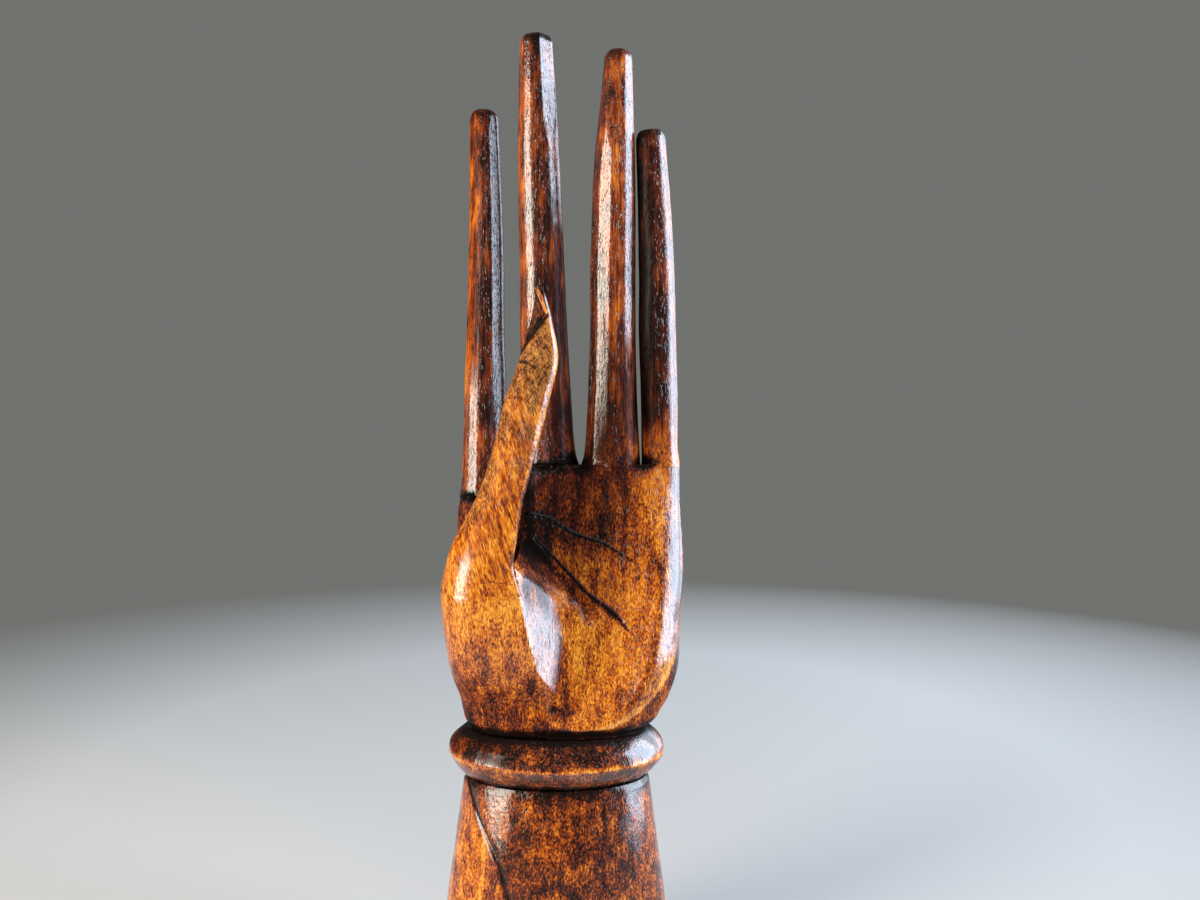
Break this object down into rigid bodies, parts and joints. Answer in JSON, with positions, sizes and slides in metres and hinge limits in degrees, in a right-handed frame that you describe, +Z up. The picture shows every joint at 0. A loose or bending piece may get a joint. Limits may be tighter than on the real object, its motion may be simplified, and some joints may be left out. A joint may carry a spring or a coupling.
{
  "type": "mudra hand sculpture",
  "caption": "Carved hardwood left hand in a mudra pose, palm out with long upright fingers and a free thumb, on a ridged wrist collar and flared forearm base.",
  "frame": {"origin": "middle of the forearm's flat underside", "axes": "+Z up towards the fingertips, the palm faces -Y, +X towards the little finger"},
  "size_m": [0.0828, 0.0591, 0.3384],
  "materials": {
    "amber_stained_wood": "amber stain under gloss varnish",
    "russet_stained_wood": "russet stain under gloss varnish",
    "dark_stained_wood": "dark rubbed stain under gloss varnish",
    "dowel_wood": "bare wood, glued"
  },
  "bodies": {
    "root": {"forearm": "dark_stained_wood", "wrist_collar": "dark_stained_wood", "palm": "russet_stained_wood", "thumb": "amber_stained_wood", "index_finger": "russet_stained_wood", "middle_finger": "russet_stained_wood", "ring_finger": "russet_stained_wood", "little_finger": "russet_stained_wood", "wrist_dowel": "dowel_wood", "thumb_dowel": "dowel_wood", "index_dowel": "dowel_wood", "middle_dowel": "dowel_wood", "ring_dowel": "dowel_wood", "little_dowel": "dowel_wood"}
  },
  "joints": []
}
